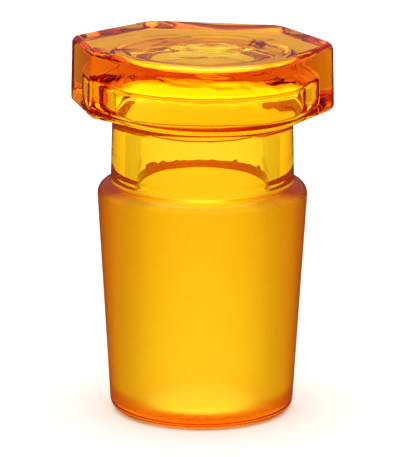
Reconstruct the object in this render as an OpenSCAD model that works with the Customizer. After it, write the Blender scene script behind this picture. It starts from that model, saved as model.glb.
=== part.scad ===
// Hollow glass stopper with a six-sided head.
// One piece of blown and pressed glass: a ground cone that seals in a bottle neck,
// a clear shoulder and neck, and a head to turn it by. A sealed cavity runs from
// just above the base, widens under the head and ends in a dome close below the top face.
// The origin is the centre of the base, where the stopper stands. +Z points up to the head.

/* [Overall] */
// Height from the base to the top of the head
total_h = 61.5; // [57:0.5:90]
// How finely round surfaces are drawn
smoothness = 96; // [24:8:180]

/* [Ground cone] */
// Diameter of the large end of the ground cone
cone_large_d = 34.5; // [32:0.1:41.4]
// Diameter that the cone would have at the base plane
cone_small_d = 30.2; // [26:0.1:32]
// Height of the cone's large end above the base
cone_top_z = 36.4; // [25:0.1:40]
// Radius of the polished edge round the base
base_edge_r = 1.9; // [0.5:0.1:3]

/* [Shoulder and neck] */
// Radius of the convex shoulder above the cone
shoulder_r = 2.2; // [0.8:0.1:2.6]
// Diameter of the neck just above the shoulder
neck_low_d = 30.1; // [25.1:0.1:31]
// Diameter of the neck just under the head
neck_top_d = 29.6; // [27:0.1:31]
// Radius of the small hollow where the neck meets the shoulder
neck_root_r = 0.6; // [0.2:0.1:1]
// Radius of the hollow where the neck meets the head
head_root_r = 0.8; // [0.2:0.1:1]

/* [Head] */
// Thickness of the head at its flat sides, top face to lower edge
head_side_h = 10.9; // [9:0.1:14]
// Height of the sloping underside, lower edge to neck
head_underside_h = 1.2; // [0.5:0.1:3]
// Distance from the axis to a typical outer corner
head_reach = 22.3; // [20.5:0.1:28]
// Radius of the rounded edge round the top face
head_top_edge_r = 1.25; // [0.5:0.05:2.5]
// Radius of the rounded edge under the sides
head_low_edge_r = 0.9; // [0.3:0.05:2]
// How much narrower each side is at the top than at the bottom
head_draft = 0.27; // [0:0.01:0.8]

/* [Head corners] */
// Right corner: angle in plan, how far it stands beyond the typical reach, rounding radius
corner_right = [1.4, -0.8, 6.0]; // [-90:0.1:360]
// Back right corner: angle, extra reach, rounding radius
corner_back_right = [52.2, -0.5, 4.2]; // [-90:0.1:360]
// Back left corner: angle, extra reach, rounding radius
corner_back_left = [114.1, 1.0, 3.8]; // [-90:0.1:360]
// Left corner: angle, extra reach, rounding radius
corner_left = [163.1, 0.4, 1.8]; // [-90:0.1:360]
// Front left corner: angle, extra reach, rounding radius
corner_front_left = [205.7, -2.1, 3.0]; // [-90:0.1:360]
// Front corner, pressed almost round: angle, extra reach, rounding radius
corner_front = [278.7, 0.5, 15.1]; // [-90:0.1:360]

/* [Cavity] */
// Thickness of the glass floor under the cavity
floor_t = 1.8; // [1:0.1:6]
// Wall thickness behind the ground cone at the base
base_wall_t = 4.4; // [2:0.1:6]
// Wall thickness behind the ground cone at its large end
cone_wall_t = 6.0; // [3:0.1:7]
// Wall thickness in the neck
neck_wall_t = 4.2; // [2:0.1:5]
// Diameter of the cavity inside the head
head_cavity_d = 28.8; // [26:0.1:31]
// How far below the top of the neck the cavity starts to widen
widening_drop = 1.0; // [0:0.1:3]
// Height over which the cavity widens
widening_h = 2.0; // [1.5:0.1:3]
// Thickness of the glass over the top of the dome
roof_t = 2.3; // [1.5:0.1:3]
// Height of the dome from its spring line to its top
dome_h = 4.6; // [3.5:0.1:5]
// Radius where the cavity wall turns into the dome
dome_edge_r = 1.2; // [0.6:0.1:3]
// Radius where the cavity wall turns into the floor
floor_edge_r = 1.8; // [0.5:0.1:4]

/* [Hidden] */
$fn = smoothness;
hull_fn = 32;
amber = [0.91, 0.56, 0.05, 0.75];

corners = [corner_right, corner_back_right, corner_back_left, corner_left, corner_front_left, corner_front];
head_side_z = total_h - head_side_h;
neck_top_z = head_side_z - head_underside_h;
underside_run = head_reach - neck_top_d / 2;

// The hollow at the neck's foot touches the shoulder's round, or its flat top where the
// neck is thin enough to leave one.
shoulder_x = cone_large_d / 2 - shoulder_r;
hollow_x = neck_low_d / 2 + neck_root_r;
shoulder_rise = hollow_x > shoulder_x
    ? sqrt(pow(shoulder_r + neck_root_r, 2) - pow(hollow_x - shoulder_x, 2))
    : shoulder_r + neck_root_r;
neck_low_z = cone_top_z + shoulder_rise;

cavity_floor_r = cone_small_d / 2 - base_wall_t;
cavity_cone_r = cone_large_d / 2 - cone_wall_t;
cavity_neck_r = neck_low_d / 2 - neck_wall_t;
cavity_head_r = head_cavity_d / 2;
roof_z = total_h - roof_t;
spring_z = roof_z - dome_h;
widening_low_z = neck_top_z - widening_drop;
widening_high_z = widening_low_z + widening_h;
cavity_bend_r = 2.5;

// Dome: a shallow arc centred on the axis, and a tighter arc that carries it into the wall.
dome_edge_x = cavity_head_r - dome_edge_r;
dome_r = (pow(dome_edge_x, 2) + pow(dome_h, 2) - pow(dome_edge_r, 2)) / (2 * (dome_h - dome_edge_r));
dome_centre_z = roof_z - dome_r;

function unit(v) = v / norm(v);
function flat(p) = [p[0], p[1]];

// Where a rounded corner starts, has its centre and ends. p, before and after are points.
function corner_half_angle(p, before, after) = acos(unit(before - p) * unit(after - p)) / 2;
function corner_leg(p, before, after, r) = r / tan(corner_half_angle(p, before, after));
function corner_start(p, before, after, r) = p + unit(before - p) * corner_leg(p, before, after, r);
function corner_end(p, before, after, r) = p + unit(after - p) * corner_leg(p, before, after, r);
function corner_centre(p, before, after, r) =
    p + unit(unit(before - p) + unit(after - p)) * r / sin(corner_half_angle(p, before, after));

// Positive where an outline that runs anticlockwise turns left, so its corner stands out.
function turn(p, before, after) =
    (p[0] - before[0]) * (after[1] - p[1]) - (p[1] - before[1]) * (after[0] - p[0]);

// An outline from points [x, y, radius], anticlockwise, with a true arc at each corner
// whose radius isn't 0.
module rounded_outline(points) {
    n = len(points);
    before = [for (i = [0 : n - 1]) flat(points[(i + n - 1) % n])];
    here = [for (i = [0 : n - 1]) flat(points[i])];
    after = [for (i = [0 : n - 1]) flat(points[(i + 1) % n])];
    radius = [for (i = [0 : n - 1]) points[i][2]];
    rounded = [for (i = [0 : n - 1]) if (radius[i] > 0) i];
    difference() {
        union() {
            polygon([
                for (i = [0 : n - 1])
                    for (q = radius[i] > 0
                        ? [
                            corner_start(here[i], before[i], after[i], radius[i]),
                            corner_centre(here[i], before[i], after[i], radius[i]),
                            corner_end(here[i], before[i], after[i], radius[i])
                        ]
                        : [here[i]])
                        q
            ]);
            for (i = rounded)
                if (turn(here[i], before[i], after[i]) > 0)
                    translate(corner_centre(here[i], before[i], after[i], radius[i]))
                        circle(r = radius[i]);
        }
        for (i = rounded)
            if (turn(here[i], before[i], after[i]) < 0)
                translate(corner_centre(here[i], before[i], after[i], radius[i]))
                    circle(r = radius[i]);
    }
}

// Half section of the cone and the neck, up into the middle of the head.
module body_section() {
    rounded_outline([
        [0, 0, 0],
        [cone_small_d / 2, 0, base_edge_r],
        [cone_large_d / 2, cone_top_z, 0],
        [neck_low_d / 2, cone_top_z, 0],
        [neck_low_d / 2, neck_low_z, 0],
        [neck_top_d / 2, neck_top_z, head_root_r],
        [neck_top_d / 2 + underside_run / 3, neck_top_z + head_underside_h / 3, 0],
        [0, neck_top_z + head_underside_h / 3, 0]
    ]);
}

// Half section of the shoulder: a quarter round on top of the cone, and the small
// hollow that leads from it into the neck.
module shoulder_section() {
    intersection() {
        union() {
            translate([shoulder_x, cone_top_z])
                circle(r = shoulder_r);
            translate([0, cone_top_z])
                square([shoulder_x, shoulder_r]);
        }
        translate([0, cone_top_z])
            square([cone_large_d / 2, shoulder_r]);
    }
    difference() {
        polygon([
            [cavity_neck_r, cone_top_z],
            [min(shoulder_x, hollow_x), cone_top_z],
            [hollow_x, neck_low_z],
            [cavity_neck_r, neck_low_z]
        ]);
        translate([hollow_x, neck_low_z])
            circle(r = neck_root_r);
    }
}

// Half section of the sealed cavity.
module cavity_section() {
    rounded_outline([
        [0, floor_t, 0],
        [cavity_floor_r, floor_t, floor_edge_r],
        [cavity_cone_r, cone_top_z, cavity_bend_r],
        [cavity_neck_r, neck_low_z, cavity_bend_r],
        [cavity_neck_r, widening_low_z, cavity_bend_r],
        [cavity_head_r, widening_high_z, cavity_bend_r],
        [cavity_head_r, spring_z, 0],
        [0, spring_z, 0]
    ]);
    dome_section();
}

// Half section of the dome over the cavity.
module dome_section() {
    edge_dir = unit([dome_edge_x, spring_z - dome_centre_z]);
    intersection() {
        translate([0, dome_centre_z])
            circle(r = dome_r);
        polygon([
            [0, spring_z],
            [dome_edge_x, spring_z],
            [dome_edge_x, spring_z] + edge_dir * dome_edge_r * 2,
            [0, roof_z + 1]
        ]);
    }
    intersection() {
        translate([dome_edge_x, spring_z])
            circle(r = dome_edge_r);
        translate([0, spring_z])
            square([cavity_head_r, dome_edge_r]);
    }
}

// One rounded corner of the head, from the top face to the underside.
module head_corner(r) {
    rotate_extrude($fn = hull_fn)
        intersection() {
            rounded_outline([
                [-r, head_side_z, 0],
                [r, head_side_z, head_low_edge_r],
                [r - head_draft, total_h, head_top_edge_r],
                [-r, total_h, 0]
            ]);
            translate([0, head_side_z])
                square([r, head_side_h]);
        }
}

// The head: six rounded corners and the round root on the neck, joined into one convex form.
module head() {
    hull() {
        for (c = corners)
            rotate([0, 0, c[0]])
                translate([head_reach + c[1] - c[2], 0, 0])
                    head_corner(c[2]);
        translate([0, 0, neck_top_z])
            cylinder(r = neck_top_d / 2 + head_root_r, h = head_underside_h, $fn = hull_fn * 2);
    }
}

module stopper() {
    color(amber)
        difference() {
            union() {
                rotate_extrude()
                    union() {
                        body_section();
                        shoulder_section();
                    }
                head();
            }
            rotate_extrude()
                cavity_section();
        }
}

stopper();
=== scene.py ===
"""Looks of a hollow amber glass stopper with a ground cone and a six-sided head."""

import logging
import math
from dataclasses import dataclass
from enum import Enum
from typing import Sequence, Union

import bpy
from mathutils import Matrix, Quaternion, Vector


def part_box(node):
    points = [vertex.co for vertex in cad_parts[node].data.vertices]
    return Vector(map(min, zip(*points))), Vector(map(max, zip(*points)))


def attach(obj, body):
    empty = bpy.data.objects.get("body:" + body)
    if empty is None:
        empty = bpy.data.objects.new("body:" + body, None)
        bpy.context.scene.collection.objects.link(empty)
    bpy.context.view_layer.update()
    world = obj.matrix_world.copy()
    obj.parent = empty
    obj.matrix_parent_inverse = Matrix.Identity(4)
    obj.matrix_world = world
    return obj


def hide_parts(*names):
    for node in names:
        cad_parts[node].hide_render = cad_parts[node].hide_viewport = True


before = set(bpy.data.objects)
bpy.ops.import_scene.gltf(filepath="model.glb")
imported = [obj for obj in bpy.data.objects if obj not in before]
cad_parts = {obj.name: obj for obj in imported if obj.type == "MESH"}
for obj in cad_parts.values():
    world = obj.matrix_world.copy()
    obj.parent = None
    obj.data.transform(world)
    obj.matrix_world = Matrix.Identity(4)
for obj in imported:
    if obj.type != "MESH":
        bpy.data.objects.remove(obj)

LOG = logging.getLogger("stopper")
NODE = "stopper"
BODY = "root"
MM = 0.001

Point2 = tuple[float, float]
TrackPoint = tuple[float, Vector, float]
Number = Union[float, "Field"]


# ---------------------------------------------------------------- node trees


class Field:
    """A number that runs through a node tree and takes ordinary arithmetic."""

    def __init__(self, tree: bpy.types.NodeTree, socket: bpy.types.NodeSocket) -> None:
        """Wraps an output socket.

        Args:
            tree: the tree that new nodes go into.
            socket: the output that holds the number.
        """
        self.tree = tree
        self.socket = socket

    def math(self, operation: str, *others: Number) -> "Field":
        """Adds one Math node.

        Args:
            operation: the Math node's operation, such as "MULTIPLY".
            others: the second and third operands, where it has them.

        Returns:
            The node's result.
        """
        node = self.tree.nodes.new("ShaderNodeMath")
        node.operation = operation
        for slot, value in zip(node.inputs, (self, *others)):
            plug(self.tree, slot, value)
        return Field(self.tree, node.outputs[0])

    def __add__(self, other: Number) -> "Field":
        """self + other."""
        return self.math("ADD", other)

    def __sub__(self, other: Number) -> "Field":
        """self - other."""
        return self.math("SUBTRACT", other)

    def __mul__(self, other: Number) -> "Field":
        """self * other."""
        return self.math("MULTIPLY", other)

    def __truediv__(self, other: Number) -> "Field":
        """self / other."""
        return self.math("DIVIDE", other)

    def __pow__(self, other: Number) -> "Field":
        """self to the power of other."""
        return self.math("POWER", other)

    def __neg__(self) -> "Field":
        """-self."""
        return self.math("MULTIPLY", -1.0)

    __radd__ = __add__
    __rmul__ = __mul__

    def __rsub__(self, other: Number) -> "Field":
        """other - self."""
        return (-self) + other

    def sin(self) -> "Field":
        """Sine of self in radians."""
        return self.math("SINE")

    def abs(self) -> "Field":
        """Size of self without its sign."""
        return self.math("ABSOLUTE")

    def ramp(self, low: Number, high: Number) -> "Field":
        """0 where self is at low, 1 where it is at high, and smooth between.

        Args:
            low: where the ramp starts.
            high: where the ramp ends, below low for a falling ramp.

        Returns:
            The ramp's value.
        """
        node = self.tree.nodes.new("ShaderNodeMapRange")
        node.interpolation_type = "SMOOTHSTEP"
        plug(self.tree, node.inputs["Value"], self)
        plug(self.tree, node.inputs["From Min"], low)
        plug(self.tree, node.inputs["From Max"], high)
        return Field(self.tree, node.outputs["Result"])


def plug(tree: bpy.types.NodeTree, slot: bpy.types.NodeSocket, value: object) -> None:
    """Feeds an input with a field, a socket or a plain value.

    Args:
        tree: the tree that the input is in.
        slot: the input.
        value: a Field, an output socket, or a value for the input itself.
    """
    if isinstance(value, Field):
        tree.links.new(value.socket, slot)
    elif isinstance(value, bpy.types.NodeSocket):
        tree.links.new(value, slot)
    else:
        slot.default_value = value


class Bench:
    """Builds one node tree, for geometry or for a material."""

    def __init__(self, tree: bpy.types.NodeTree) -> None:
        """Takes the tree to build in."""
        self.tree = tree

    def node(self, kind: str, inputs: dict | None = None, **settings: object) -> bpy.types.Node:
        """Adds a node.

        Args:
            kind: the node's type name.
            inputs: input name or number to what feeds it.
            settings: the node's own properties.

        Returns:
            The node.
        """
        node = self.tree.nodes.new(kind)
        for name, value in settings.items():
            setattr(node, name, value)
        for key, value in (inputs or {}).items():
            plug(self.tree, node.inputs[key], value)
        return node

    def field(self, socket: bpy.types.NodeSocket) -> Field:
        """Wraps an output socket for arithmetic."""
        return Field(self.tree, socket)

    def xyz(self, vector: object) -> tuple[Field, Field, Field]:
        """Splits a vector into its three numbers."""
        parts = self.node("ShaderNodeSeparateXYZ", {0: vector}).outputs
        return self.field(parts[0]), self.field(parts[1]), self.field(parts[2])

    def vector(self, x: Number, y: Number, z: Number) -> bpy.types.NodeSocket:
        """Joins three numbers into a vector."""
        return self.node("ShaderNodeCombineXYZ", {0: x, 1: y, 2: z}).outputs[0]

    def noise(self, vector: object, cell: float, detail: float = 2.0, seed: float = 0.0) -> Field:
        """Smooth noise about zero, from about -0.5 to 0.5.

        Args:
            vector: where to read the noise.
            cell: size of its features, in metres.
            detail: how many finer layers it has.
            seed: which noise it is.

        Returns:
            The noise.
        """
        node = self.node(
            "ShaderNodeTexNoise",
            {"Vector": vector, "W": seed, "Scale": 1.0 / cell, "Detail": detail},
            noise_dimensions="4D",
        )
        return self.field(node.outputs[0]) - 0.5


# ---------------------------------------------------------------- sizes


class CornerName(Enum):
    """The six corners of the head, anticlockwise from the right as seen from above."""

    RIGHT = "right"
    BACK_RIGHT = "back right"
    BACK_LEFT = "back left"
    LEFT = "left"
    FRONT_LEFT = "front left"
    FRONT = "front"


@dataclass(frozen=True)
class Corner:
    """One corner of the head: angle in plan, reach beyond the typical one, and rounding."""

    name: CornerName
    angle_deg: float
    extra: float
    rounding: float


@dataclass(frozen=True)
class StopperSizes:
    """Sizes of the stopper in metres. They repeat the solid model's own."""

    total_h: float
    cone_large_r: float = 17.25 * MM
    cone_small_r: float = 15.1 * MM
    cone_top_z: float = 36.4 * MM
    base_edge_r: float = 1.9 * MM
    shoulder_r: float = 2.2 * MM
    neck_low_r: float = 15.05 * MM
    neck_top_r: float = 14.8 * MM
    neck_root_r: float = 0.6 * MM
    head_root_r: float = 0.8 * MM
    head_side_h: float = 10.9 * MM
    head_underside_h: float = 1.2 * MM
    head_reach: float = 22.3 * MM
    head_top_edge_r: float = 1.25 * MM
    head_low_edge_r: float = 0.9 * MM
    head_draft: float = 0.27 * MM
    floor_t: float = 1.8 * MM
    base_wall_t: float = 4.4 * MM
    cone_wall_t: float = 6.0 * MM
    neck_wall_t: float = 4.2 * MM
    head_cavity_r: float = 14.4 * MM
    roof_t: float = 2.3 * MM
    widening_drop: float = 1.0 * MM
    widening_h: float = 2.0 * MM
    dome_h: float = 4.6 * MM
    dome_edge_r: float = 1.2 * MM
    floor_edge_r: float = 1.8 * MM
    bend_r: float = 2.5 * MM
    corners: tuple[Corner, ...] = (
        Corner(CornerName.RIGHT, 1.4, -0.8 * MM, 6.0 * MM),
        Corner(CornerName.BACK_RIGHT, 52.2, -0.5 * MM, 4.2 * MM),
        Corner(CornerName.BACK_LEFT, 114.1, 1.0 * MM, 3.8 * MM),
        Corner(CornerName.LEFT, 163.1, 0.4 * MM, 1.8 * MM),
        Corner(CornerName.FRONT_LEFT, 205.7, -2.1 * MM, 3.0 * MM),
        Corner(CornerName.FRONT, 278.7, 0.5 * MM, 15.1 * MM),
    )

    @property
    def head_side_z(self) -> float:
        """Height of the head's lower edge."""
        return self.total_h - self.head_side_h

    @property
    def neck_top_z(self) -> float:
        """Height where the neck meets the head."""
        return self.head_side_z - self.head_underside_h

    @property
    def neck_low_z(self) -> float:
        """Height where the hollow above the shoulder meets the neck."""
        reach = self.shoulder_r + self.neck_root_r
        return self.cone_top_z + math.sqrt(reach**2 - self.neck_root_r**2)

    @property
    def underside_run(self) -> float:
        """How far the head's underside runs out from the neck."""
        return self.head_reach - self.neck_top_r


# ---------------------------------------------------------------- outlines


def arc(centre: Point2, radius: float, start: float, end: float, steps: int) -> list[Point2]:
    """Points along an arc.

    Args:
        centre: its centre.
        radius: its radius.
        start: the first point's angle in radians.
        end: the last point's angle in radians.
        steps: how many stretches it has.

    Returns:
        The points, both ends included.
    """
    angles = [start + (end - start) * i / steps for i in range(steps + 1)]
    return [(centre[0] + radius * math.cos(a), centre[1] + radius * math.sin(a)) for a in angles]


def rounded_corner(
    before: Point2, corner: Point2, after: Point2, radius: float, steps: int
) -> list[Point2]:
    """The arc that rounds a corner between two straight stretches.

    Args:
        before: a point on the stretch that leads in.
        corner: the sharp corner.
        after: a point on the stretch that leads out.
        radius: the arc's radius.
        steps: how many stretches the arc has.

    Returns:
        The arc's points, from the first stretch to the second.
    """
    into = (Vector(before) - Vector(corner)).normalized()
    out = (Vector(after) - Vector(corner)).normalized()
    half = into.angle(out) / 2
    leg = radius / math.tan(half)
    centre = Vector(corner) + (into + out).normalized() * radius / math.sin(half)
    first = Vector(corner) + into * leg - centre
    last = Vector(corner) + out * leg - centre
    start = math.atan2(first.y, first.x)
    turn = math.atan2(first.x * last.y - first.y * last.x, first.dot(last))
    return arc((centre.x, centre.y), radius, start, start + turn, steps)


def between(start: Point2, end: Point2, steps: int) -> list[Point2]:
    """Points that divide a straight stretch, with neither end."""
    return [
        (start[0] + (end[0] - start[0]) * i / steps, start[1] + (end[1] - start[1]) * i / steps)
        for i in range(1, steps)
    ]


@dataclass(frozen=True)
class Station:
    """One ring of a skin.

    Its plan is a circle of radius reach, plus share times the head's outline drawn in by inset.
    """

    reach: float
    height: float
    share: float = 0.0
    inset: float = 0.0


def direction(angle: float) -> Vector:
    """The unit vector in plan at an angle in radians."""
    return Vector((math.cos(angle), math.sin(angle)))


class HeadPlan:
    """The outline of the head from above: the band round six circles."""

    STEP_LENGTH = 0.9 * MM
    STEP_TURN = math.radians(4.5)
    ARC_PARTS = 40

    def __init__(self, sizes: StopperSizes, samples: int) -> None:
        """Works out the outline.

        Args:
            sizes: the stopper's sizes.
            samples: how many points the outline gets.
        """
        self.radii = [c.rounding for c in sizes.corners]
        self.centres = [
            direction(math.radians(c.angle_deg)) * (sizes.head_reach + c.extra - c.rounding)
            for c in sizes.corners
        ]
        self.points, self.outward = self._trace(samples)

    def _edge_normals(self) -> list[float]:
        """Angle of the outward normal of the straight edge after each corner."""
        count = len(self.centres)
        angles = []
        for i in range(count):
            run = self.centres[(i + 1) % count] - self.centres[i]
            lean = math.acos((self.radii[i] - self.radii[(i + 1) % count]) / run.length)
            angles.append(math.atan2(run.y, run.x) - lean)
        return angles

    def _trace(self, samples: int) -> tuple[list[Point2], list[Point2]]:
        """Spreads points along the outline, closer together where it turns.

        Args:
            samples: how many points.

        Returns:
            The points and their outward normals.
        """
        normals = self._edge_normals()
        track: list[TrackPoint] = []
        measure = 0.0
        for i, end in enumerate(normals):
            start = normals[i - 1]
            turn = (end - start) % (2 * math.pi)
            for k in range(self.ARC_PARTS + 1):
                angle = start + turn * k / self.ARC_PARTS
                spot = self.centres[i] + direction(angle) * self.radii[i]
                if track:
                    measure += (spot - track[-1][1]).length / self.STEP_LENGTH
                    measure += turn / self.ARC_PARTS / self.STEP_TURN if k else 0.0
                track.append((measure, spot, angle))
        _, first, angle = track[0]
        measure += (first - track[-1][1]).length / self.STEP_LENGTH
        track.append((measure, first, angle + 2 * math.pi))
        return self._resample(track, samples)

    @staticmethod
    def _resample(track: list[TrackPoint], samples: int) -> tuple[list[Point2], list[Point2]]:
        """Picks evenly measured points from a track.

        Args:
            track: measure, place and normal angle along the outline.
            samples: how many points to pick.

        Returns:
            The points and their outward normals.
        """
        total = track[-1][0]
        points, outward, j = [], [], 0
        for s in range(samples):
            want = total * s / samples
            while track[j + 1][0] < want:
                j += 1
            (m0, p0, a0), (m1, p1, a1) = track[j], track[j + 1]
            t = (want - m0) / (m1 - m0) if m1 > m0 else 0.0
            lean = (a1 - a0 + math.pi) % (2 * math.pi) - math.pi
            points.append(tuple(p0.lerp(p1, t)))
            outward.append(tuple(direction(a0 + lean * t)))
        return points, outward


class OuterSection:
    """Half section of the outside, from the middle of the base to the middle of the top."""

    SLOPE_STEPS = 8
    TOP_STEPS = 56

    def __init__(self, sizes: StopperSizes) -> None:
        """Takes the stopper's sizes."""
        self.sizes = sizes

    def stations(self) -> list[Station]:
        """Lists the rings of the outer skin, bottom to top."""
        return [*self._cone(), *self._shoulder_and_neck(), *self._head_edges(), *self._top_face()]

    def _cone(self) -> list[Station]:
        """Rings of the base, its polished edge and the ground cone."""
        s = self.sizes
        edge = rounded_corner(
            (0, 0), (s.cone_small_r, 0), (s.cone_large_r, s.cone_top_z), s.base_edge_r, 10
        )
        line = [(0.0, 0.0), *between((0, 0), edge[0], 8), *edge]
        line += between(edge[-1], (s.cone_large_r, s.cone_top_z), 24)
        return [Station(x, z) for x, z in line]

    def _shoulder_and_neck(self) -> list[Station]:
        """Rings of the shoulder, the hollow above it, the neck and its root in the head."""
        s = self.sizes
        shoulder_centre = (s.cone_large_r - s.shoulder_r, s.cone_top_z)
        hollow_centre = (s.neck_low_r + s.neck_root_r, s.neck_low_z)
        lift = hollow_centre[1] - shoulder_centre[1]
        meet = math.atan2(lift, hollow_centre[0] - shoulder_centre[0])
        line = arc(shoulder_centre, s.shoulder_r, 0, meet, 14)
        line += arc(hollow_centre, s.neck_root_r, meet - math.pi, -math.pi, 6)[1:]
        root = rounded_corner(
            (s.neck_low_r, s.neck_low_z),
            (s.neck_top_r, s.neck_top_z),
            (s.neck_top_r + s.underside_run, s.head_side_z),
            s.head_root_r,
            8,
        )
        line += between(line[-1], root[0], 24) + root
        return [Station(x, z) for x, z in line]

    def _head_edges(self) -> list[Station]:
        """Rings of the underside, the lower edge, the flat sides and the top edge."""
        s = self.sizes
        under, low = (-s.underside_run, s.neck_top_z), (0.0, s.head_side_z)
        high = (-s.head_draft, s.total_h)
        low_edge = rounded_corner(under, low, high, s.head_low_edge_r, 8)
        top_edge = rounded_corner(low, high, (-s.head_reach, s.total_h), s.head_top_edge_r, 10)
        line = low_edge + between(low_edge[-1], top_edge[0], 20) + top_edge
        root = self._shoulder_and_neck()[-1]
        start_x, start_z = low_edge[0]
        shares = [k / self.SLOPE_STEPS for k in range(1, self.SLOPE_STEPS)]
        slope = [
            Station(root.reach * (1 - t), root.height + (start_z - root.height) * t, t, -start_x)
            for t in shares
        ]
        return slope + [Station(0, z, 1.0, -x) for x, z in line]

    def _top_face(self) -> list[Station]:
        """Rings of the top face, shrinking to its middle."""
        last = self._head_edges()[-1]
        shares = [1 - k / self.TOP_STEPS for k in range(1, self.TOP_STEPS + 1)]
        return [Station(0, last.height, share, last.inset) for share in shares]


class CavitySection:
    """Half section of the sealed cavity, from the middle of its floor to the top of its dome."""

    def __init__(self, sizes: StopperSizes) -> None:
        """Takes the stopper's sizes."""
        self.sizes = sizes

    def stations(self) -> list[Station]:
        """Lists the rings of the cavity skin, bottom to top."""
        s = self.sizes
        neck_r = s.neck_low_r - s.neck_wall_t
        spring_z = s.total_h - s.roof_t - s.dome_h
        widen_low = s.neck_top_z - s.widening_drop
        widen_high = widen_low + s.widening_h
        corners = [
            (0.0, s.floor_t, 0.0),
            (s.cone_small_r - s.base_wall_t, s.floor_t, s.floor_edge_r),
            (s.cone_large_r - s.cone_wall_t, s.cone_top_z, s.bend_r),
            (neck_r, s.neck_low_z, s.bend_r),
            (neck_r, widen_low, s.bend_r),
            (s.head_cavity_r, widen_high, s.bend_r),
            (s.head_cavity_r, spring_z, 0.0),
        ]
        line: list[Point2] = [(0.0, s.floor_t)]
        for before, here, after in zip(corners, corners[1:], corners[2:]):
            bend = rounded_corner(before[:2], here[:2], after[:2], here[2], 6)
            line += between(line[-1], bend[0], 16) + bend
        line += between(line[-1], corners[-1][:2], 4) + self._dome(spring_z)
        return [Station(x, z) for x, z in line]

    def _dome(self, spring_z: float) -> list[Point2]:
        """The dome: a tight arc off the wall, then a shallow one to the axis.

        Args:
            spring_z: height where the dome starts.

        Returns:
            Its points, wall to axis.
        """
        s = self.sizes
        roof_z = s.total_h - s.roof_t
        edge_x = s.head_cavity_r - s.dome_edge_r
        radius = (edge_x**2 + s.dome_h**2 - s.dome_edge_r**2) / (2 * (s.dome_h - s.dome_edge_r))
        centre_z = roof_z - radius
        meet = math.atan2(spring_z - centre_z, edge_x)
        tight = arc((edge_x, spring_z), s.dome_edge_r, 0, meet, 12)
        shallow = arc((0, centre_z), radius, meet, math.pi / 2, 34)
        return tight + shallow[1:-1] + [(0.0, roof_z)]


# ---------------------------------------------------------------- skins


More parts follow.
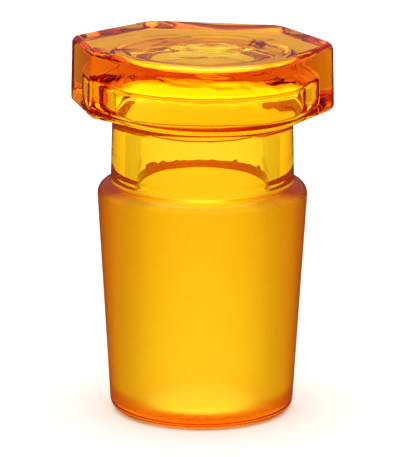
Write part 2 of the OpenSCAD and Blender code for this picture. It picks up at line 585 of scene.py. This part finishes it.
class SkinLoft:
    """Geometry Nodes that carry a half section round the head's plan and mark the surface."""

    MERGE_DISTANCE = 1e-7
    SECTION_KEYS = ("reach", "height", "share", "inset")

    def __init__(
        self, name: str, plan: HeadPlan, stations: Sequence[Station], faces_in: bool
    ) -> None:
        """Takes what the skin is made from.

        Args:
            name: the skin's name.
            plan: the head's outline.
            stations: the rings, in order.
            faces_in: True for a cavity, whose faces point to the axis.
        """
        self.name = name
        self.plan = plan
        self.stations = stations
        self.faces_in = faces_in

    def build(self, marks: "MarkRule", finish: bpy.types.Material) -> bpy.types.Object:
        """Makes the skin as a plain mesh object.

        Args:
            marks: the rule for the marks on its surface.
            finish: its material.

        Returns:
            The skin.
        """
        plan_guide = self._guide(
            f"{self.name}_plan",
            [(x, y, 0.0) for x, y in self.plan.points],
            {},
            [(x, y, 0.0) for x, y in self.plan.outward],
        )
        guide = self._guide(
            f"{self.name}_section",
            [(0.0, 0.0, s.height) for s in self.stations],
            {key: [getattr(s, key) for s in self.stations] for key in self.SECTION_KEYS},
            None,
        )
        tree = self._tree(marks)
        modifier = guide.modifiers.new("loft", "NODES")
        modifier.node_group = tree
        values = {
            "Plan": plan_guide,
            "Around": len(self.plan.points),
            "Along": len(self.stations),
            "Finish": finish,
        }
        for item in tree.interface.items_tree:
            if item.item_type == "SOCKET" and item.in_out == "INPUT" and item.name in values:
                modifier[item.identifier] = values[item.name]
        depsgraph = bpy.context.evaluated_depsgraph_get()
        mesh = bpy.data.meshes.new_from_object(guide.evaluated_get(depsgraph))
        skin = bpy.data.objects.new(self.name, mesh)
        bpy.context.scene.collection.objects.link(skin)
        for helper in (guide, plan_guide):
            bpy.data.objects.remove(helper)
        bpy.data.node_groups.remove(tree)
        return skin

    @staticmethod
    def _guide(
        name: str,
        points: Sequence[tuple[float, float, float]],
        numbers: dict[str, list[float]],
        outward: Sequence[tuple[float, float, float]] | None,
    ) -> bpy.types.Object:
        """Makes a row of points that the tree reads.

        Args:
            name: the object's name.
            points: the places.
            numbers: attribute name to one number a point.
            outward: one direction a point, if it has them.

        Returns:
            The object.
        """
        mesh = bpy.data.meshes.new(name)
        mesh.from_pydata(points, [], [])
        for key, values in numbers.items():
            mesh.attributes.new(key, "FLOAT", "POINT").data.foreach_set("value", values)
        if outward:
            flat = [c for v in outward for c in v]
            mesh.attributes.new("outward", "FLOAT_VECTOR", "POINT").data.foreach_set("vector", flat)
        guide = bpy.data.objects.new(name, mesh)
        bpy.context.scene.collection.objects.link(guide)
        return guide

    def _tree(self, marks: "MarkRule") -> bpy.types.NodeTree:
        """Builds the node tree.

        Args:
            marks: the rule for the surface's marks.

        Returns:
            The tree.
        """
        tree = bpy.data.node_groups.new(f"{self.name}_loft", "GeometryNodeTree")
        kinds = {
            "Geometry": "Geometry", "Plan": "Object", "Around": "Int", "Along": "Int",
            "Finish": "Material",
        }
        for name, kind in kinds.items():
            tree.interface.new_socket(name, in_out="INPUT", socket_type=f"NodeSocket{kind}")
        tree.interface.new_socket("Geometry", in_out="OUTPUT", socket_type="NodeSocketGeometry")
        bench = Bench(tree)
        given = bench.node("NodeGroupInput")
        result = bench.node("NodeGroupOutput")
        around, along = bench.field(given.outputs["Around"]), bench.field(given.outputs["Along"])
        grid = bench.node(
            "GeometryNodeMeshGrid", {"Vertices X": around + 1.0, "Vertices Y": along}
        ).outputs["Mesh"]
        index = bench.field(bench.node("GeometryNodeInputIndex").outputs[0])
        row = index.math("FLOORED_MODULO", along)
        column = ((index - row) / along).math("FLOORED_MODULO", around)
        plan = bench.node(
            "GeometryNodeObjectInfo", {"Object": given.outputs["Plan"]}
        ).outputs["Geometry"]

        def sampled(geometry: object, name: str, kind: str, at: Field) -> bpy.types.NodeSocket:
            """Reads a named attribute of a point by its number."""
            named = bench.node("GeometryNodeInputNamedAttribute", {"Name": name}, data_type=kind)
            value = next(o for o in named.outputs if o.enabled and o.name == "Attribute")
            sample = bench.node("GeometryNodeSampleIndex", data_type=kind, domain="POINT")
            plug(tree, sample.inputs["Geometry"], geometry)
            plug(tree, next(i for i in sample.inputs if i.enabled and i.name == "Value"), value)
            plug(tree, sample.inputs["Index"], at)
            return next(o for o in sample.outputs if o.enabled)

        section = given.outputs["Geometry"]
        reach, height, share, inset = (
            bench.field(sampled(section, key, "FLOAT", row)) for key in self.SECTION_KEYS
        )
        px, py, _ = bench.xyz(sampled(plan, "position", "FLOAT_VECTOR", column))
        nx, ny, _ = bench.xyz(sampled(plan, "outward", "FLOAT_VECTOR", column))
        length = (px * px + py * py) ** 0.5
        place = bench.vector(
            reach * px / length + share * (px - inset * nx),
            reach * py / length + share * (py - inset * ny),
            height,
        )

        def then(kind: str, geometry: object, **inputs: object) -> bpy.types.NodeSocket:
            """Adds a node that changes a geometry, which is its first input and output."""
            return bench.node(f"GeometryNode{kind}", {0: geometry, **inputs}).outputs[0]

        shape = then("SetPosition", grid, Position=place)
        shape = then("MergeByDistance", shape, Distance=self.MERGE_DISTANCE)
        if self.faces_in:
            shape = then("FlipFaces", shape)
        shape = then("SetShadeSmooth", marks.press(bench, shape))
        shape = then("RealizeInstances", shape)
        shape = then("SetMaterial", shape, Material=given.outputs["Finish"])
        tree.links.new(shape, result.inputs[0])
        return tree


class MarkRule:
    """How a skin departs from its true form: a field that moves each point along its normal."""

    def depth(self, bench: Bench, position: object) -> Field:
        """How far each point moves along its normal, in metres.

        Args:
            bench: where the nodes go.
            position: the point's place.

        Returns:
            The distance, below zero into the surface.
        """
        raise NotImplementedError

    def press(self, bench: Bench, shape: bpy.types.NodeSocket) -> bpy.types.NodeSocket:
        """Moves the points of a mesh by this rule.

        Args:
            bench: where the nodes go.
            shape: the mesh.

        Returns:
            The moved mesh.
        """
        position = bench.node("GeometryNodeInputPosition").outputs[0]
        normal = bench.node("GeometryNodeInputNormal").outputs[0]
        depth = self.depth(bench, position)
        push = bench.node(
            "ShaderNodeVectorMath", {0: normal, "Scale": depth}, operation="SCALE"
        ).outputs[0]
        return bench.node(
            "GeometryNodeSetPosition", {"Geometry": shape, "Offset": push}
        ).outputs[0]


@dataclass(frozen=True)
class OuterMarks(MarkRule):
    """Marks on the outside: a swirl on the top face and the soft waves of pressed glass."""

    sizes: StopperSizes
    swirl_centre: Point2 = (2.0 * MM, -1.0 * MM)
    swirl_r: float = 11.5 * MM
    swirl_depth: float = 0.16 * MM
    swirl_core: float = 0.6
    ring_pitch: float = 3.1 * MM
    ring_sway: float = 2.2 * MM
    sway_cell: float = 6 * MM
    patch_cell: float = 3.5 * MM
    patch_gain: float = 1.2
    patch_mean: float = 0.7
    dish_cell: float = 9 * MM
    dish_depth: float = 0.25 * MM
    wave_cell: float = 4.5 * MM
    wave_depth: float = 0.05 * MM

    def depth(self, bench: Bench, position: object) -> Field:
        """See MarkRule.depth."""
        s = self.sizes
        x, y, z = bench.xyz(position)
        on_top = z.ramp(s.total_h - 0.4 * MM, s.total_h - 0.1 * MM)
        sway = bench.noise(position, self.sway_cell, detail=2.0, seed=3.0)
        dx, dy = x - self.swirl_centre[0], y - self.swirl_centre[1]
        radius = (dx * dx + dy * dy) ** 0.5 + sway * self.ring_sway
        rings = (radius * (2 * math.pi / self.ring_pitch)).sin() * 0.5 - 0.5
        fade = radius.ramp(self.swirl_r, self.swirl_r * self.swirl_core)
        patches = bench.noise(position, self.patch_cell, detail=1.0, seed=9.0)
        rough_rings = rings * (patches * self.patch_gain + self.patch_mean)
        swirl = rough_rings * fade * self.swirl_depth
        dish = bench.noise(position, self.dish_cell, detail=1.0, seed=5.0).abs() * -self.dish_depth
        on_side = z.ramp(s.neck_top_z + 0.6 * MM, s.head_side_z + 0.5 * MM)
        waves = bench.noise(position, self.wave_cell, detail=1.5, seed=1.0)
        wave = (waves - 0.5) * self.wave_depth
        return (swirl + dish) * on_top + wave * on_side * (1.0 - on_top)


@dataclass(frozen=True)
class CavityMarks(MarkRule):
    """Marks on the cavity wall: slow waves, wrinkles in the dome, and a torn ridge at the shoulder."""

    sizes: StopperSizes
    wall_cell: float = 9 * MM
    wall_wave: float = 0.14 * MM
    dome_cell: float = 5 * MM
    dome_wave: float = 0.30 * MM
    ridge_rise: float = 0.9 * MM
    ridge_depth: float = 0.50 * MM
    ridge_half_h: float = 0.7 * MM
    ridge_core: float = 0.4
    ridge_mean: float = 0.9
    tear_cell: float = 1.6 * MM
    tear_sway: float = 1.6 * MM
    behind_run: float = 4 * MM

    def depth(self, bench: Bench, position: object) -> Field:
        """See MarkRule.depth."""
        s = self.sizes
        _, y, z = bench.xyz(position)
        wall = bench.noise(position, self.wall_cell, detail=1.0, seed=2.0) * self.wall_wave
        dome = bench.noise(position, self.dome_cell, detail=2.0, seed=7.0) * self.dome_wave
        in_dome = z.ramp(s.neck_top_z + 1 * MM, s.neck_top_z + 4 * MM)
        tear = bench.noise(position, self.tear_cell, detail=2.0, seed=12.0) - 0.5
        off = (z + tear * self.tear_sway - s.neck_low_z - self.ridge_rise).abs()
        core_h = self.ridge_half_h * self.ridge_core
        ridge = off.ramp(self.ridge_half_h, core_h) * (tear + self.ridge_mean)
        behind = y.ramp(0.0, self.behind_run)
        return wall + dome * in_dome - ridge * behind * self.ridge_depth


# ---------------------------------------------------------------- finish


@dataclass(frozen=True)
class AmberGlass:
    """Amber glass: clear where it was fire-polished, fine matt where the cone was ground."""

    sizes: StopperSizes
    pass_colour: tuple[float, float, float, float] = (0.976, 0.866, 0.02, 1.0)
    density: float = 500.0
    ior: float = 1.5
    ground_roughness: float = 0.42
    grain: float = 0.45 * MM
    grain_depth: float = 0.05 * MM
    ragged_cell: float = 2.0 * MM
    ragged_reach: float = 0.8 * MM
    skin_t: float = 0.7 * MM

    def material(self) -> bpy.types.Material:
        """Builds the glass.

        Returns:
            The material.
        """
        material = bpy.data.materials.new("amber_glass")
        material.use_nodes = True
        tree = material.node_tree
        tree.nodes.clear()
        bench = Bench(tree)
        place = bench.node("ShaderNodeTexCoord").outputs["Object"]
        ground = self._ground_mask(bench, place)
        grain = bench.noise(place, self.grain, detail=2.0, seed=8.0)
        bump = bench.node(
            "ShaderNodeBump",
            {"Height": grain * ground, "Distance": self.grain_depth, "Strength": 1.0},
        )
        shader = bench.node(
            "ShaderNodeBsdfPrincipled",
            {
                "Base Color": (1.0, 1.0, 1.0, 1.0),
                "Roughness": ground * self.ground_roughness,
                "IOR": self.ior,
                "Transmission Weight": 1.0,
                "Normal": bump.outputs[0],
            },
        )
        volume = bench.node(
            "ShaderNodeVolumeAbsorption", {"Color": self.pass_colour, "Density": self.density}
        )
        output = bench.node("ShaderNodeOutputMaterial")
        tree.links.new(shader.outputs[0], output.inputs["Surface"])
        tree.links.new(volume.outputs[0], output.inputs["Volume"])
        return material

    def _ground_mask(self, bench: Bench, place: object) -> Field:
        """1 on the ground cone and 0 elsewhere, with an uneven edge."""
        s = self.sizes
        x, y, z = bench.xyz(place)
        outside = (x * x + y * y) ** 0.5
        taper = (s.cone_large_r - s.cone_small_r) / s.cone_top_z
        wall = z * taper + (s.cone_small_r - self.skin_t)
        on_skin = outside.ramp(wall, wall + 0.1 * MM)
        edge = bench.noise(place, self.ragged_cell, detail=3.0, seed=4.0) * self.ragged_reach
        above = (z + edge).ramp(s.base_edge_r - 0.1 * MM, s.base_edge_r + 0.2 * MM)
        below = (z + edge).ramp(s.cone_top_z + 0.6 * MM, s.cone_top_z + 0.3 * MM)
        return on_skin * above * below


# ---------------------------------------------------------------- the stopper


class GlassStopper:
    """The whole stopper: one piece of glass with an outer skin and a cavity skin."""

    AROUND = 288

    def __init__(self, sizes: StopperSizes) -> None:
        """Takes the stopper's sizes."""
        self.sizes = sizes
        self.plan = HeadPlan(sizes, self.AROUND)

    def build(self) -> bpy.types.Object:
        """Makes the glass, dresses it and sets it on the frame.

        Returns:
            The finished piece.
        """
        outer = SkinLoft("stopper_glass", self.plan, OuterSection(self.sizes).stations(), False)
        cavity = SkinLoft("stopper_cavity", self.plan, CavitySection(self.sizes).stations(), True)
        amber = AmberGlass(self.sizes).material()
        glass = self._joined(
            outer.build(OuterMarks(self.sizes), amber), cavity.build(CavityMarks(self.sizes), amber)
        )
        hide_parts(NODE)
        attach(glass, BODY)
        LOG.info("%s: %d faces", glass.name, len(glass.data.polygons))
        return glass

    @staticmethod
    def _joined(outer: bpy.types.Object, cavity: bpy.types.Object) -> bpy.types.Object:
        """Joins the cavity skin to the outer skin in one mesh."""
        both = [outer, cavity]
        with bpy.context.temp_override(
            active_object=outer, object=outer, selected_objects=both, selected_editable_objects=both
        ):
            bpy.ops.object.join()
        return outer


# ---------------------------------------------------------------- studio


@dataclass(frozen=True)
class Panel:
    """A soft light on the camera's arm, placed by angles about the stopper as the camera sees it."""

    name: str
    side_deg: float
    rise_deg: float
    width_deg: float
    height_deg: float
    brightness: float


@dataclass(frozen=True)
class SkyStep:
    """How bright the surround is from one rise upwards, seen through the glass and mirrored in it."""

    rise_deg: float
    through: float
    mirrored: float


@dataclass
class Studio:
    """A pale floor, a white surround and a soft light behind the glass."""

    distance: float = 0.520
    elevation_deg: float = 13.55
    aim_z: float = 30.3 * MM
    aim_x: float = -0.36 * MM
    roll_deg: float = 0.25
    lens_mm: float = 248.4
    arm: float = 4.0
    backlight: Panel = Panel("backlight", 0.0, -14.0, 60.0, 50.0, 0.35)
    sky: tuple[SkyStep, ...] = (
        SkyStep(-90.0, 1.80, 0.03),
        SkyStep(-50.0, 1.00, 0.03),
        SkyStep(4.0, 1.50, 0.16),
        SkyStep(30.0, 2.60, 0.18),
        SkyStep(55.0, 4.60, 2.20),
    )
    sky_blend_deg: float = 4.0
    plain_brightness: float = 1.12
    floor_half: float = 3.0
    floor_shade: float = 0.97
    glass_bounces: int = 40
    mirror_bounces: int = 12

    def build(self) -> None:
        """Makes the camera, the light, the surround and the floor."""
        self._light(self.backlight, self._camera())
        self._surround()
        self._floor()
        scene = bpy.context.scene
        scene.view_settings.view_transform = "Standard"
        scene.cycles.max_bounces = self.glass_bounces
        scene.cycles.transmission_bounces = self.glass_bounces
        scene.cycles.glossy_bounces = self.mirror_bounces

    def _camera(self) -> bpy.types.Object:
        """Makes the camera.

        Returns:
            The camera.
        """
        data = bpy.data.cameras.new("camera")
        data.lens = self.lens_mm
        camera = bpy.data.objects.new("camera", data)
        bpy.context.scene.collection.objects.link(camera)
        rise = math.radians(self.elevation_deg)
        aim = Vector((self.aim_x, 0, self.aim_z))
        back = Vector((0, -math.cos(rise), math.sin(rise)))
        camera.location = aim + back * self.distance
        camera.rotation_mode = "QUATERNION"
        turn = (-back).to_track_quat("-Z", "Y")
        camera.rotation_quaternion = turn @ Quaternion((0, 0, 1), math.radians(self.roll_deg))
        bpy.context.scene.camera = camera
        return camera

    def _span(self, angle_deg: float) -> float:
        """The length that an angle takes up at the arm's end."""
        return 2 * self.arm * math.tan(math.radians(angle_deg / 2))

    def _light(self, panel: Panel, camera: bpy.types.Object) -> None:
        """Hangs a light on the camera's arm, facing the stopper, seen only through the glass.

        Args:
            panel: what it is and where it goes.
            camera: the camera that carries it.
        """
        data = bpy.data.lights.new(panel.name, "AREA")
        data.shape = "RECTANGLE"
        data.size, data.size_y = self._span(panel.width_deg), self._span(panel.height_deg)
        data.energy = panel.brightness * math.pi * data.size * data.size_y
        light = bpy.data.objects.new(panel.name, data)
        bpy.context.scene.collection.objects.link(light)
        light.parent = camera
        side, rise = math.radians(panel.side_deg), math.radians(panel.rise_deg)
        level = math.cos(rise)
        outward = Vector((math.sin(side) * level, math.sin(rise), -math.cos(side) * level))
        light.location = Vector((0, 0, -self.distance)) + outward * self.arm
        light.rotation_mode = "QUATERNION"
        light.rotation_quaternion = (-outward).to_track_quat("-Z", "Y")
        light.visible_camera = False
        light.visible_diffuse = False
        light.visible_glossy = False

    def _floor_finish(self) -> bpy.types.Material:
        """The floor's matt pale grey."""
        material = bpy.data.materials.new("floor")
        material.use_nodes = True
        shader = material.node_tree.nodes["Principled BSDF"]
        shader.inputs["Base Color"].default_value = (*[self.floor_shade] * 3, 1)
        shader.inputs["Roughness"].default_value = 1.0
        shader.inputs["Specular IOR Level"].default_value = 0.0
        return material

    def _surround(self) -> None:
        """Makes the world: white to the camera and the floor, in bands by height in the glass."""
        world = bpy.data.worlds.new("surround")
        bpy.context.scene.world = world
        world.use_nodes = True
        tree = world.node_tree
        tree.nodes.clear()
        bench = Bench(tree)
        rise = bench.xyz(bench.node("ShaderNodeTexCoord").outputs["Generated"])[2]
        rays = bench.node("ShaderNodeLightPath").outputs
        diffuse = bench.field(rays["Is Diffuse Ray"])
        plain = bench.field(rays["Is Camera Ray"]).math("MAXIMUM", diffuse)
        through = self._banded(rise, [step.through for step in self.sky])
        mirrored = self._banded(rise, [step.mirrored for step in self.sky])
        glass = mirrored + (through - mirrored) * bench.field(rays["Is Transmission Ray"])
        strength = glass + (-glass + self.plain_brightness) * plain
        background = bench.node(
            "ShaderNodeBackground", {"Color": (1, 1, 1, 1), "Strength": strength}
        )
        output = bench.node("ShaderNodeOutputWorld")
        tree.links.new(background.outputs[0], output.inputs[0])

    def _banded(self, rise: Field, levels: Sequence[float]) -> Field:
        """Joins the surround's levels with soft edges.

        Args:
            rise: the sine of the direction's height.
            levels: one level for each step of the sky, lowest first.

        Returns:
            The brightness in that direction.
        """
        total: Number = levels[0]
        for step, before, level in zip(self.sky[1:], levels, levels[1:]):
            low = math.sin(math.radians(step.rise_deg - self.sky_blend_deg))
            high = math.sin(math.radians(step.rise_deg + self.sky_blend_deg))
            total = total + rise.ramp(low, high) * (level - before)
        return total

    def _floor(self) -> None:
        """Makes the pale floor."""
        half = self.floor_half
        mesh = bpy.data.meshes.new("floor")
        corners = [(-half, -half, 0), (half, -half, 0), (half, half, 0), (-half, half, 0)]
        mesh.from_pydata(corners, [], [(0, 1, 2, 3)])
        floor = bpy.data.objects.new("floor", mesh)
        bpy.context.scene.collection.objects.link(floor)
        mesh.materials.append(self._floor_finish())
        floor.visible_glossy = False
        floor.visible_transmission = False


def main() -> None:
    """Builds the studio and the stopper."""
    logging.basicConfig(level=logging.INFO, format="%(name)s %(message)s")
    low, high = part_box(NODE)
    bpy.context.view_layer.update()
    Studio().build()
    GlassStopper(StopperSizes(total_h=high.z - low.z)).build()


if __name__ == "__main__":
    main()
